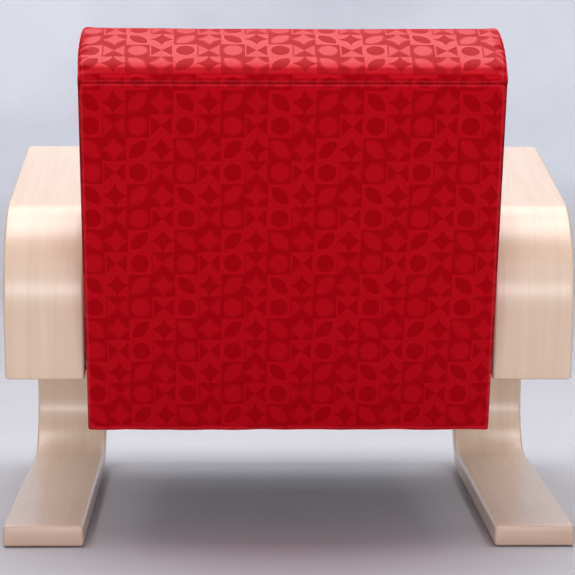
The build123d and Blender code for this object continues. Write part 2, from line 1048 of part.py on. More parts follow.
save(left_side_frame, "left_side_frame")
save(right_side_frame, "right_side_frame")
save(floor_glides, "floor_glides")
save(seat_side_rail_left, "seat_side_rail_left")
save(seat_side_rail_right, "seat_side_rail_right")
save(seat_front_rail, "seat_front_rail")
save(seat_rear_rail, "seat_rear_rail")
save(seat_corner_blocks, "seat_corner_blocks")
save(corner_block_screws, "corner_block_screws")
save(back_stile_left, "back_stile_left")
save(back_stile_right, "back_stile_right")
save(back_lower_rail, "back_lower_rail")
save(back_top_rail, "back_top_rail")
save(back_gussets, "back_gussets")
save(gusset_screws, "gusset_screws")
save(rail_dowels, "rail_dowels")
save(seat_springs, "seat_springs")
save(seat_spring_clips, "seat_spring_clips")
save(back_springs, "back_springs")
save(back_spring_clips, "back_spring_clips")
save(seat_hessian, "seat_hessian")
save(back_hessian, "back_hessian")
save(seat_foam, "seat_foam")
save(back_foam, "back_foam")
save(seat_wadding, "seat_wadding")
save(back_wadding, "back_wadding")
save(back_hardboard, "back_hardboard")
save(side_padding_left, "side_padding_left")
save(side_padding_right, "side_padding_right")
save(seat_side_cover_left, "seat_side_cover_left")
save(seat_side_cover_right, "seat_side_cover_right")
save(back_side_cover_left, "back_side_cover_left")
save(back_side_cover_right, "back_side_cover_right")
save(seat_cover, "seat_cover")
save(back_cover, "back_cover")
save(rear_cover, "rear_cover")
save(dust_cover, "dust_cover")
save(dust_cover_tacks, "dust_cover_tacks")
save(frame_bolts, "frame_bolts")
save(bolt_washers, "bolt_washers")
save(insert_nuts, "insert_nuts")
save(spacer_washers, "spacer_washers")
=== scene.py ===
import json
import math
from math import cos, radians, sin

import bmesh
import bpy
import numpy as np
from mathutils import Euler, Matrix, Quaternion, Vector, noise


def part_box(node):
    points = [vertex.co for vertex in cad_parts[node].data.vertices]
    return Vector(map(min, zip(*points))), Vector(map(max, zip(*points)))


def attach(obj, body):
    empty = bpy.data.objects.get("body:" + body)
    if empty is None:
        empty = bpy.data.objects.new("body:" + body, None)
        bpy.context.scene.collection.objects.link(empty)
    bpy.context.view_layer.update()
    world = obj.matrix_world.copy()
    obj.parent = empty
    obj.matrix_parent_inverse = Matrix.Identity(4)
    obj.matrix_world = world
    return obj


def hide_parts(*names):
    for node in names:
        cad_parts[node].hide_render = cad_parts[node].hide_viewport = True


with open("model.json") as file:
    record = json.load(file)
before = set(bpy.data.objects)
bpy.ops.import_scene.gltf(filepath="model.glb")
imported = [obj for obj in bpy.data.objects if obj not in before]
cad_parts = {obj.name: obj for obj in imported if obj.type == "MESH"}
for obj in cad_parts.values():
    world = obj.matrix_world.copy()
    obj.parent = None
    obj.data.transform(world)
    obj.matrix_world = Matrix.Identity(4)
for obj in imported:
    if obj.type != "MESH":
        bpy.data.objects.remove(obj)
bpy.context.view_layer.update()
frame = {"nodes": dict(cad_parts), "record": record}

# The looks of a cantilever lounge armchair: bent birch side frames, and a body in red satin.
# Metres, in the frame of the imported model: +Z up, the sitter faces -Y, +X is their left.

MM = 0.001

# ---------------------------------------------------------------- dimensions

# Side frames, as their bent centreline
STRIP_WIDTH = 104 * MM
STRIP_THICKNESS = 27 * MM
STRIP_EDGE = 4 * MM
STRIP_END = 3 * MM
VENEER = 1.5 * MM
RUNNER_LENGTH = 643.8 * MM
UPRIGHT_LENGTH = 493 * MM
UPRIGHT_LEAN = radians(9.3)
ARM_LENGTH = 542 * MM
ARM_SLOPE = radians(10)
DROP_LENGTH = 197.5 * MM
DROP_LEAN = radians(10.6)
FOOT_BEND = 81 * MM
FRONT_BEND = 116.5 * MM
REAR_BEND = 103.5 * MM

# Upholstered body
HALF_WIDTH = 264 * MM
SEAT_SLOPE = radians(8.6)
SEAT_LENGTH = 586.4 * MM
SEAT_THICKNESS = 184 * MM
SEAT_FRONT_RADIUS = 35 * MM
BACK_LEAN = radians(20.6)
BACK_HEIGHT = 508.5 * MM
BACK_THICKNESS = 162 * MM
BACK_FRONT_RADIUS = 38 * MM
ROLL_RADIUS = 20.5 * MM
ROLL_PROUD = 3.5 * MM
ROLL_SEAM = 487 * MM
BLOCK_ANGLE = BACK_LEAN - SEAT_SLOPE

# Filling the cushions: a point may travel from the least to the fullest, in millimetres
VOXEL = 6 * MM
FILL_FRAMES = 20
FILL_PRESSURE = 4.0
HELD_TRAVEL = 0.6 * MM
LEAST_TRAVEL = 0.5
FULLEST_TRAVEL = 15
ROLL_TRAVEL = 2.0
FRONT_TRAVEL = 4
END_BAND = (4 * MM, 70 * MM)
END_START = 200 * MM
END_FADE = 60 * MM
COVER_GAP = 3 * MM
BACK_SWELL = 12 * MM
TUCK = 24 * MM
TOP_RISE = 6 * MM
TOP_BULGE = 3.5 * MM
TOP_START = 380 * MM
TOP_FADE = 110 * MM

# Seams, gathers and hems
SEAM_REACH = 12 * MM
SEAM_DITCH = 0.9 * MM
DITCH_WIDTH = 3.5 * MM
EDGE_ROUND = 4 * MM
END_PULL = 1.5 * MM
GATHER_PITCH = 17 * MM
GATHER_DEPTH = 1.7 * MM
ROLL_GATHERS = 45 * MM
TUCK_RISE = 1.2 * MM
LIP_FOOT = 462 * MM
LIP_TOP = 502 * MM
LIP_DEPTH = 4 * MM
UNEVENNESS = 0.5 * MM
WOOD_GAP = 1.2 * MM
BARE_TIMBER_TOP = 104 * MM
SHEET_PITCH = 8 * MM
PANEL_CLOTH = 1.4 * MM
PANEL_WRAP = 6 * MM
PANEL_RETURN = 23 * MM
HEM_WAVE = 1.3 * MM
LINING_CLOTH = 0.6 * MM
LINING_WRAP = 0.4 * MM
LINING_FRONT = 27 * MM
LINING_REAR = 560.5 * MM

# The satin's pattern
TILE_WIDTH = 29.4 * MM
TILE_HEIGHT = 31.4 * MM

# The camera: a full-frame long lens, aimed a little down, turned and tilted
CAMERA_PLACE = (0.078, 3.4516, 0.6665)
CAMERA_LENS = 156.85
CAMERA_DIP = radians(5.88)
CAMERA_TURN = radians(1.34)
CAMERA_TILT = radians(0.17)

# The stage, seen from the side: a floor, a bend and a wall
FLOOR_NEAR = 4.5
WALL_Y = -5.4
WALL_BEND = 1.6
WALL_TOP = 4.0
STAGE_HALF_WIDTH = 6.0


# ---------------------------------------------------------------- camera, stage and lights

def make_camera():
    """A long lens behind the chair, level with its top and a little to its left."""
    data = bpy.data.cameras.new("camera")
    data.lens = CAMERA_LENS
    data.sensor_width = 36.0
    camera = bpy.data.objects.new("camera", data)
    bpy.context.collection.objects.link(camera)
    camera.location = CAMERA_PLACE
    aim = Euler((math.pi / 2 - CAMERA_DIP, 0, math.pi - CAMERA_TURN)).to_quaternion()
    camera.rotation_mode = "QUATERNION"
    camera.rotation_quaternion = aim @ Quaternion((0, 0, 1), CAMERA_TILT)
    bpy.context.scene.camera = camera


def area_light(name, place, target, size, power):
    """A soft rectangular light that faces a point."""
    data = bpy.data.lights.new(name, "AREA")
    data.shape = "RECTANGLE"
    data.size, data.size_y = size
    data.energy = power
    light = bpy.data.objects.new(name, data)
    bpy.context.collection.objects.link(light)
    light.location = place
    way = Vector(target) - light.location
    light.rotation_euler = way.to_track_quat("-Z", "Y").to_euler()


def make_stage():
    """A pale floor that curves up into a pale wall beyond the chair."""
    foot_y = WALL_Y + WALL_BEND
    line = [(FLOOR_NEAR, 0), (foot_y, 0)]
    steps = 12
    for step in range(1, steps + 1):
        angle = radians(90) * step / steps
        line.append((foot_y - WALL_BEND * sin(angle), WALL_BEND - WALL_BEND * cos(angle)))
    line.append((WALL_Y, WALL_TOP))
    mesh = bpy.data.meshes.new("stage")
    points = [(side * STAGE_HALF_WIDTH, y, z) for y, z in line for side in (-1, 1)]
    faces = [(2 * i, 2 * i + 1, 2 * i + 3, 2 * i + 2) for i in range(len(line) - 1)]
    mesh.from_pydata(points, [], faces)
    mesh.shade_smooth()
    stage = bpy.data.objects.new("stage", mesh)
    bpy.context.collection.objects.link(stage)
    mesh.materials.append(stage_material())


# ---------------------------------------------------------------- material helpers

class Nodes:
    """A new material's node tree, with short calls for what the materials need."""

    def __init__(self, name):
        self.material = bpy.data.materials.new(name)
        self.material.use_nodes = True
        self.tree = self.material.node_tree
        self.shader = self.tree.nodes["Principled BSDF"]

    def put(self, socket, value):
        """Link a socket to another, or set its value."""
        if isinstance(value, bpy.types.NodeSocket):
            self.tree.links.new(value, socket)
        else:
            socket.default_value = value

    def new(self, kind, settings=(), **inputs):
        node = self.tree.nodes.new(kind)
        for key, value in dict(settings).items():
            setattr(node, key, value)
        for key, value in inputs.items():
            self.put(node.inputs[key.replace("_", " ")], value)
        return node

    def math(self, operation, a, b=0.0, clamp=False):
        node = self.new("ShaderNodeMath", {"operation": operation, "use_clamp": clamp})
        for socket, value in zip(node.inputs, (a, b)):
            self.put(socket, value)
        return node.outputs[0]

    def mix(self, factor, a, b):
        """Blend two colours."""
        node = self.new("ShaderNodeMix", {"data_type": "RGBA"})
        self.put(node.inputs[0], factor)
        self.put(node.inputs[6], a)
        self.put(node.inputs[7], b)
        return node.outputs[2]

    def remap(self, value, low, high, to_low=0.0, to_high=1.0, smooth=False):
        node = self.new("ShaderNodeMapRange")
        if smooth:
            node.interpolation_type = "SMOOTHSTEP"
        for socket, number in zip(node.inputs, (value, low, high, to_low, to_high)):
            self.put(socket, number)
        return node.outputs[0]

    def noise(self, vector, scale, detail=3.0, rough=0.5, distortion=0.0):
        node = self.new("ShaderNodeTexNoise", Vector=vector)
        node.inputs["Scale"].default_value = scale
        node.inputs["Detail"].default_value = detail
        node.inputs["Roughness"].default_value = rough
        node.inputs["Distortion"].default_value = distortion
        return node.outputs["Fac"]

    def scaled(self, vector, x, y, z):
        node = self.new("ShaderNodeVectorMath", {"operation": "MULTIPLY"})
        self.put(node.inputs[0], vector)
        node.inputs[1].default_value = (x, y, z)
        return node.outputs[0]

    def bump(self, height, strength, distance):
        node = self.new("ShaderNodeBump", Height=height)
        node.inputs["Strength"].default_value = strength
        node.inputs["Distance"].default_value = distance
        self.put(self.shader.inputs["Normal"], node.outputs[0])

    def set(self, **inputs):
        for key, value in inputs.items():
            self.put(self.shader.inputs[key.replace("_", " ")], value)

    def object_place(self):
        return self.new("ShaderNodeTexCoord").outputs["Object"]

    def attribute(self, name):
        return self.new("ShaderNodeAttribute", {"attribute_name": name}).outputs["Vector"]


def split(nodes, vector):
    return nodes.new("ShaderNodeSeparateXYZ", Vector=vector).outputs


# ---------------------------------------------------------------- materials

def stage_material():
    """Pale grey paper with faint clouds of tone."""
    n = Nodes("stage_grey")
    place = n.object_place()
    clouds = n.noise(place, 1.1, 5.0, 0.55)
    tone = n.mix(n.remap(clouds, 0.35, 0.65), (0.57, 0.575, 0.645, 1), (0.70, 0.715, 0.775, 1))
    height = split(n, place)[2]
    floor_tone = n.mix(n.remap(clouds, 0.35, 0.65), (0.50, 0.49, 0.53, 1), (0.545, 0.535, 0.575, 1))
    tone = n.mix(n.remap(height, 0.0, 0.25, 0.0, 1.0, True), floor_tone, tone)
    n.set(Base_Color=tone, Roughness=0.75)
    n.bump(n.noise(place, 260.0), 0.05, 0.0005)
    return n.material


def birch_material():
    """Rotary-cut birch veneers glued in layers, under a thin satin lacquer.

    The attribute grain holds the distance along the strip, across it and through it.
    """
    n = Nodes("birch_laminate")
    grain = n.attribute("grain")
    along, across, through = split(n, grain)
    layers = n.math("DIVIDE", n.math("ADD", through, (STRIP_THICKNESS + VENEER) / 2), VENEER)
    layer = n.math("FLOOR", layers)
    in_layer = n.math("FRACT", layers)
    off_centre = n.math("ABSOLUTE", n.math("SUBTRACT", in_layer, 0.5))
    glue = n.remap(off_centre, 0.40, 0.47, 0.0, 1.0, True)
    # Each layer is another stretch of veneer
    own_veneer = n.math("MULTIPLY", layer, 0.37)
    shifted = n.new("ShaderNodeCombineXYZ", X=along, Y=across, Z=own_veneer).outputs[0]
    fibre = n.noise(n.scaled(shifted, 14, 900, 1), 1.0, 4.0, 0.6)
    streak = n.noise(n.scaled(shifted, 3.0, 70, 1), 1.0, 4.0, 0.55, 0.4)
    figure = n.noise(n.scaled(shifted, 7.0, 16, 1), 1.0, 3.0, 0.5, 1.2)
    vessel = n.remap(n.noise(n.scaled(shifted, 60, 1500, 1), 1.0, 2.0, 0.5), 0.66, 0.74)
    pale = (0.72, 0.54, 0.415, 1)
    warm = (0.66, 0.47, 0.345, 1)
    dark = (0.50, 0.32, 0.215, 1)
    tone = n.mix(n.remap(streak, 0.3, 0.7), pale, warm)
    tone = n.mix(n.math("MULTIPLY", n.remap(figure, 0.45, 0.75), 0.35), tone, warm)
    tone = n.mix(n.math("MULTIPLY", n.remap(fibre, 0.35, 0.75), 0.22), tone, dark)
    tone = n.mix(n.math("MULTIPLY", vessel, 0.30), tone, dark)
    # Alternate layers turn their fibres, so their edges differ in tone
    odd = n.math("FRACT", n.math("MULTIPLY", layer, 0.5))
    edge_tone = n.mix(n.math("MULTIPLY", odd, 0.5), tone, (0.62, 0.45, 0.31, 1))
    inside = n.remap(n.math("ABSOLUTE", through), 12.6 * MM, 13.2 * MM, 1.0, 0.0)
    tone = n.mix(inside, tone, edge_tone)
    glue_line = n.math("MULTIPLY", n.math("MULTIPLY", glue, inside), 0.55)
    tone = n.mix(glue_line, tone, (0.36, 0.22, 0.13, 1))
    # End grain at the sawn ends is darker
    sawn = n.remap(along, 2.6 * MM, 0.8 * MM, 0.0, 0.55, True)
    tone = n.mix(sawn, tone, (0.36, 0.20, 0.155, 1))
    rough = n.remap(fibre, 0.3, 0.7, 0.36, 0.48)
    n.set(Base_Color=tone, Roughness=rough)
    n.set(Specular_IOR_Level=0.5, Coat_Weight=0.85, Coat_Roughness=0.27)
    height = n.math("ADD", fibre, n.math("MULTIPLY", glue, -0.6))
    n.bump(height, 0.12, 0.0004)
    return n.material


def satin_material():
    """Red jacquard satin: a tone-on-tone weave of plain geometric figures.

    The map "cloth" runs across the chair and along the cloth, in metres.
    """
    n = Nodes("red_satin")
    place = n.new("ShaderNodeUVMap", {"uv_map": "cloth"}).outputs["UV"]
    x, y, _ = split(n, place)
    wobble = n.math("MULTIPLY", n.math("SUBTRACT", n.noise(place, 22.0, 2.0), 0.5), 0.05)
    u = n.math("ADD", n.math("DIVIDE", x, TILE_WIDTH), wobble)
    v = n.math("ADD", n.math("DIVIDE", y, TILE_HEIGHT), wobble)
    column, row = n.math("FLOOR", u), n.math("FLOOR", v)
    fu = n.math("SUBTRACT", n.math("FRACT", u), 0.5)
    fv = n.math("SUBTRACT", n.math("FRACT", v), 0.5)

    def odd(value, every=1.0):
        """1 on every second column or row, or on every second pair, otherwise 0."""
        halves = n.math("FLOOR", n.math("DIVIDE", value, every))
        return n.math("ROUND", n.math("FRACT", n.math("MULTIPLY", halves, 0.5)))

    def figure(distance):
        """Inside a shape, from its signed distance in tiles."""
        return n.remap(distance, 0.025, -0.025)

    def choose(factor, a, b):
        return n.math("ADD", n.math("MULTIPLY", n.math("SUBTRACT", 1.0, factor), a),
                      n.math("MULTIPLY", factor, b))

    def larger(a, b):
        return n.math("MAXIMUM", a, b)

    odd_column, odd_row = odd(column), odd(row)
    absolute_u, absolute_v = n.math("ABSOLUTE", fu), n.math("ABSOLUTE", fv)
    # A round disc
    radius = n.math("SQRT", n.math("ADD", n.math("MULTIPLY", fu, fu), n.math("MULTIPLY", fv, fv)))
    disc = n.math("SUBTRACT", radius, 0.39)
    # A slanted leaf, where two circles overlap, leaning either way in turn
    way = n.math("SUBTRACT", 1.0, n.math("MULTIPLY", odd(column, 2.0), 2.0))
    turned_u = n.math("MULTIPLY", fu, way)
    tip = n.math("MULTIPLY", n.math("ADD", turned_u, fv), 0.7071)
    aside = n.math("MULTIPLY", n.math("SUBTRACT", fv, turned_u), 0.7071)
    belly = n.math("ADD", n.math("ABSOLUTE", aside), 0.34)
    leaf = n.math("SUBTRACT", n.math("SQRT", n.math("ADD", n.math("MULTIPLY", tip, tip),
                  n.math("MULTIPLY", belly, belly))), 0.62)
    # Two triangles, point to point
    hourglass = larger(n.math("SUBTRACT", absolute_v, n.math("MULTIPLY", absolute_u, 0.95)),
                       n.math("SUBTRACT", absolute_u, 0.44))
    # A star of four points
    star = n.math("SUBTRACT", n.math("ADD", n.math("POWER", absolute_u, 0.62),
                  n.math("POWER", absolute_v, 0.62)), 0.74)
    star = n.math("MULTIPLY", star, 0.6)
    first_row = choose(odd_column, disc, hourglass)
    second_row = choose(odd_column, leaf, star)
    shape = choose(odd_row, first_row, second_row)
    inside = figure(shape)
    outline = n.remap(n.math("ABSOLUTE", n.math("SUBTRACT", shape, 0.05)), 0.035, 0.02)
    # Figure and ground change places along pairs of diagonals
    swap = odd(n.math("ADD", column, row), 2.0)
    weave = n.math("ABSOLUTE", n.math("SUBTRACT", inside, swap))
    tone = n.math("ADD", n.math("MULTIPLY", weave, 0.8), n.math("MULTIPLY", outline, 0.2),
                  clamp=True)
    # Satin floats: fine lines across the figures and along the ground
    thread_scale = 2200.0
    across_threads = n.noise(n.scaled(place, thread_scale, 160, 1), 1.0, 2.0, 0.5)
    along_threads = n.noise(n.scaled(place, 160, thread_scale, 1), 1.0, 2.0, 0.5)
    threads = choose(tone, along_threads, across_threads)
    deep, bright = (0.315, 0.0003, 0.003, 1), (0.43, 0.0010, 0.007, 1)
    colour = n.mix(tone, deep, bright)
    between_threads = n.math("MULTIPLY", n.remap(threads, 0.35, 0.7), 0.18)
    colour = n.mix(between_threads, colour, (0.20, 0.001, 0.004, 1))
    n.set(Roughness=n.remap(tone, 0.0, 1.0, 0.68, 0.36))
    n.set(Specular_IOR_Level=n.remap(tone, 0.0, 1.0, 0.4, 1.0))
    n.set(Specular_Tint=(1.0, 0.03, 0.05, 1))
    n.set(Sheen_Weight=n.remap(tone, 0.0, 1.0, 0.5, 1.0))
    n.set(Sheen_Roughness=0.35, Sheen_Tint=(1.0, 0.02, 0.04, 1))
    # A seam: a ditch darkened with painted shade, and the turned edge of cloth that stands up
    # beside it, lightened with a painted highlight; the bump shapes both
    closeness = n.new("ShaderNodeAttribute", {"attribute_name": "seam"}).outputs["Fac"]
    ditch = n.remap(closeness, 0.86, 0.97, 0.0, 1.0, True)
    off_ridge = n.math("ABSOLUTE", n.math("SUBTRACT", closeness, 0.74))
    ridge_with_painted_highlight = n.remap(off_ridge, 0.0, 0.16, 1.0, 0.0, True)
    # Painted shade darkens the ditch's colour and a painted highlight lightens the ridge's colour
    colour = n.mix(n.math("MULTIPLY", ditch, 0.75), colour, (0.05, 0.0005, 0.002, 1))
    colour = n.mix(n.math("MULTIPLY", ridge_with_painted_highlight, 0.3), colour, (0.62, 0.03, 0.045, 1))
    n.set(Base_Color=colour)
    height = n.math("ADD", n.math("MULTIPLY", tone, 0.7), n.math("MULTIPLY", threads, 0.35))
    height = n.math("ADD", height, n.math("MULTIPLY", n.math("SUBTRACT", ridge_with_painted_highlight, ditch), 2.5))
    n.bump(height, 0.35, 0.0003)
    return n.material


def timber_material():
    """Sawn softwood of the hidden frame, with its rings and fibres."""
    n = Nodes("frame_timber")
    place = n.object_place()
    rings = n.noise(n.scaled(place, 20, 20, 5), 1.0, 5.0, 0.6, 0.8)
    fibre = n.noise(n.scaled(place, 300, 300, 14), 1.0, 3.0, 0.6)
    tone = n.mix(n.remap(rings, 0.35, 0.65), (0.66, 0.48, 0.29, 1), (0.52, 0.35, 0.19, 1))
    tone = n.mix(n.math("MULTIPLY", fibre, 0.25), tone, (0.34, 0.21, 0.11, 1))
    n.set(Base_Color=tone, Roughness=n.remap(fibre, 0.2, 0.8, 0.55, 0.75))
    n.bump(fibre, 0.2, 0.0005)
    return n.material


def cloth_material(name, dark, light, scale, rough, sheen=0.1):
    """A plain woven or felted textile in two close tones."""
    n = Nodes(name)
    place = n.object_place()
    x, y, z = split(n, place)
    warp = n.math("SINE", n.math("MULTIPLY", x, scale))
    weft = n.math("SINE", n.math("MULTIPLY", n.math("ADD", y, n.math("MULTIPLY", z, 0.4)), scale))
    weave = n.math("MULTIPLY", n.math("ADD", n.math("MULTIPLY", warp, weft), 1.0), 0.5)
    fuzz = n.noise(place, scale * 0.3, 4.0, 0.6)
    tone = n.mix(n.remap(n.math("ADD", weave, fuzz), 0.4, 1.6), dark, light)
    n.set(Base_Color=tone, Roughness=n.remap(fuzz, 0.2, 0.8, rough, min(rough + 0.15, 1.0)))
    n.set(Sheen_Weight=sheen, Sheen_Roughness=0.5)
    n.bump(n.math("ADD", weave, fuzz), 0.4, 0.0006)
    return n.material


def foam_material():
    """Cut foam with open cells."""
    n = Nodes("foam")
    place = n.object_place()
    cells = n.new("ShaderNodeTexVoronoi", Vector=place, Scale=420.0).outputs["Distance"]
    tone = n.mix(n.remap(cells, 0.1, 0.6), (0.55, 0.47, 0.26, 1), (0.80, 0.73, 0.48, 1))
    n.set(Base_Color=tone, Roughness=n.remap(cells, 0.0, 0.6, 0.95, 0.8))
    n.bump(cells, 0.6, 0.001)
    return n.material


def hardboard_material():
    """Brown pressed board with flecks of fibre."""
    n = Nodes("hardboard")
    place = n.object_place()
    flecks = n.noise(place, 340.0, 5.0, 0.65)
    tone = n.mix(n.remap(flecks, 0.35, 0.7), (0.17, 0.085, 0.04, 1), (0.32, 0.18, 0.09, 1))
    n.set(Base_Color=tone, Roughness=n.remap(flecks, 0.3, 0.7, 0.5, 0.7))
    n.bump(flecks, 0.2, 0.0004)
    return n.material


def metal_material(name, dark, light, rough_low, rough_high, scale):
    """Drawn or plated steel with fine scuffs and a faint mottle."""
    n = Nodes(name)
    place = n.object_place()
    mottle = n.noise(place, scale, 4.0, 0.6)
    scuffs = n.noise(n.scaled(place, 40, 900, 900), 1.0, 3.0, 0.6)
    n.set(Base_Color=n.mix(n.remap(mottle, 0.3, 0.7), dark, light), Metallic=1.0)
    n.set(Roughness=n.remap(scuffs, 0.3, 0.7, rough_low, rough_high))
    n.bump(scuffs, 0.15, 0.0002)
    return n.material


def plastic_material(name, dark, light, rough):
    """Moulded plastic or fibre with a fine grain and some wear."""
    n = Nodes(name)
    place = n.object_place()
    grain = n.noise(place, 900.0, 3.0, 0.6)
    wear = n.noise(place, 60.0, 4.0, 0.6)
    n.set(Base_Color=n.mix(n.remap(wear, 0.35, 0.7), dark, light))
    n.set(Roughness=n.remap(grain, 0.3, 0.7, rough, rough + 0.15))
    n.bump(grain, 0.2, 0.0003)
    return n.material


def grey(level):
    return (level, level, level, 1)


materials = {
    "birch_laminate": birch_material(),
    "red_satin": satin_material(),
    "frame_timber": timber_material(),
    "foam": foam_material(),
    "hardboard": hardboard_material(),
    "wadding": cloth_material(
        "wadding", (0.62, 0.62, 0.6, 1), (0.9, 0.9, 0.88, 1), 900.0, 0.85, 0.4
    ),
    "hessian": cloth_material(
        "hessian", (0.22, 0.14, 0.07, 1), (0.55, 0.41, 0.24, 1), 2500.0, 0.85
    ),
    "black_cambric": cloth_material(
        "black_cambric", (0.008, 0.008, 0.009, 1), (0.03, 0.03, 0.034, 1), 4000.0, 0.75, 0.2
    ),
    "spring_steel": metal_material(
        "spring_steel", (0.16, 0.15, 0.15, 1), (0.3, 0.3, 0.31, 1), 0.3, 0.5, 120.0
    ),
    "zinc_steel": metal_material(
        "zinc_steel", (0.5, 0.51, 0.52, 1), (0.68, 0.69, 0.7, 1), 0.22, 0.42, 200.0
    ),
    "glide_plastic": plastic_material(
        "glide_plastic", (0.62, 0.6, 0.55, 1), (0.75, 0.73, 0.69, 1), 0.4
    ),
    "spacer_fibre": plastic_material("spacer_fibre", grey(0.02), grey(0.045), 0.6),
}

for subpart in frame["record"]["subparts"]:
    node = frame["nodes"][subpart["node"]]
    node.data.materials.clear()
    node.data.materials.append(materials[subpart["material_slot"]])


# ---------------------------------------------------------------- side views

def filleted(corners, radii, close=False, step=radians(4)):
    """A side line through corners, with an arc of each radius: a list of (y, z)."""
    points = []
    count = len(corners)
    for index, corner in enumerate(corners):
        here = Vector(corner)
        if not close and index in (0, count - 1):
            points.append(here)
            continue
        radius = radii[index if close else index - 1]
        before = (Vector(corners[index - 1]) - here).normalized()
        after = (Vector(corners[(index + 1) % count]) - here).normalized()
        opening = before.angle(after)
        if radius == 0:
            points.append(here)
            continue
        tangent = radius / math.tan(opening / 2)
        middle = here + (before + after).normalized() * (radius / sin(opening / 2))
        first = here + before * tangent - middle
        turn = math.pi - opening
        way = 1 if first.cross(here + after * tangent - middle) > 0 else -1
        steps = max(2, round(turn / step))
        for k in range(steps + 1):
            angle = way * turn * k / steps
            points.append(middle + Vector((
                first.x * cos(angle) - first.y * sin(angle),
                first.x * sin(angle) + first.y * cos(angle),
            )))
    return points


def even(points, spacing):
    """The same line with points at most a spacing apart, and the length up to each."""
    dense, lengths = [points[0]], [0.0]
    for start, end in zip(points, points[1:]):
        gap = (end - start).length
        if gap < 1e-7:
            continue
        pieces = max(1, math.ceil(gap / spacing))
        for k in range(1, pieces + 1):
            dense.append(start.lerp(end, k / pieces))
            lengths.append(lengths[-1] + gap / pieces)
    return dense, lengths


class Side:
    """A block's own side view: along and up, turned by a slope and placed in a node's box."""

    def __init__(self, slope, outline, node):
        self.along = Vector((cos(slope), sin(slope)))
        self.up = Vector((-sin(slope), cos(slope)))
        turned = [self.along * a + self.up * b for a, b in outline]
        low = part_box(node)[0]
        self.origin = Vector((low.y - min(p.x for p in turned), low.z - min(p.y for p in turned)))


# The seat's side view runs back along its underside; the back's runs up its rear face,
# and its second measure is the depth towards the sitter.
back_outline = filleted(
    [
        (0, 0),
        (ROLL_SEAM - 2 * ROLL_PROUD, 0),
        (ROLL_SEAM, -ROLL_PROUD),
        (BACK_HEIGHT, -ROLL_PROUD),
        (BACK_HEIGHT, BACK_THICKNESS),
        (-BACK_THICKNESS * math.tan(BLOCK_ANGLE), BACK_THICKNESS),
    ],
    [0, 0, 0, ROLL_RADIUS, BACK_FRONT_RADIUS, 0],
    close=True,
)
back_side = Side(math.pi / 2 - BACK_LEAN, back_outline, "back_side_cover_left")


def seat_depth_line(depth, up):
    """How far along the seat a depth of the back block is, at a height above the underside."""
    return SEAT_LENGTH - (depth - up * sin(BLOCK_ANGLE)) / cos(BLOCK_ANGLE)


seat_outline = filleted(
    [
        (0, 0),
        (0, SEAT_THICKNESS),
        (seat_depth_line(BACK_THICKNESS, SEAT_THICKNESS), SEAT_THICKNESS),
        (seat_depth_line(BACK_THICKNESS, 0), 0),
    ],
    [2 * MM, SEAT_FRONT_RADIUS, 0, 0],
    close=True,
)
seat_side = Side(-SEAT_SLOPE, seat_outline, "seat_side_cover_left")


# ---------------------------------------------------------------- mesh helpers

def make_object(name, mesh, slot):
    """A new object in the scene, with its material and its slot."""
    piece = bpy.data.objects.new(name, mesh)
    bpy.context.collection.objects.link(piece)
    mesh.materials.clear()
    mesh.materials.append(materials[slot])
    return piece


def bake_modifiers(piece):
    """Replace a piece's mesh with what its modifiers make of it."""
    graph = bpy.context.evaluated_depsgraph_get()
    mesh = bpy.data.meshes.new_from_object(piece.evaluated_get(graph))
    piece.modifiers.clear()
    piece.data = mesh
    return mesh


def finish_piece(piece, *nodes):
    """Let a piece ride on the chair's one body, in place of the CAD nodes named."""
    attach(piece, "root")
    if nodes:
        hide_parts(*nodes)


# ---------------------------------------------------------------- side frames

def strip_section():
    """The strip's rounded section: (across, through) round its edge."""
    half_width, half_thickness = STRIP_WIDTH / 2, STRIP_THICKNESS / 2
    corners = [
        (-half_width, -half_thickness),
        (half_width, -half_thickness),
        (half_width, half_thickness),
        (-half_width, half_thickness),
    ]
    loop = filleted(corners, [STRIP_EDGE] * 4, close=True, step=radians(18))
    loop.append(loop[0])
    dense, _ = even(loop, 9 * MM)
    return dense[:-1]


def strip_path():
    """The strip's centreline in side view, from the runner's end to the drop's end."""
    upright = Vector((sin(UPRIGHT_LEAN), cos(UPRIGHT_LEAN)))
    arm = Vector((cos(ARM_SLOPE), -sin(ARM_SLOPE)))
    drop = Vector((-sin(DROP_LEAN), -cos(DROP_LEAN)))
    corners = [Vector((RUNNER_LENGTH, 0)), Vector((0, 0))]
    corners.append(corners[-1] + upright * UPRIGHT_LENGTH)
    corners.append(corners[-1] + arm * ARM_LENGTH)
    corners.append(corners[-1] + drop * DROP_LENGTH)
    return even(filleted(corners, [FOOT_BEND, FRONT_BEND, REAR_BEND], step=radians(3)), 12 * MM)


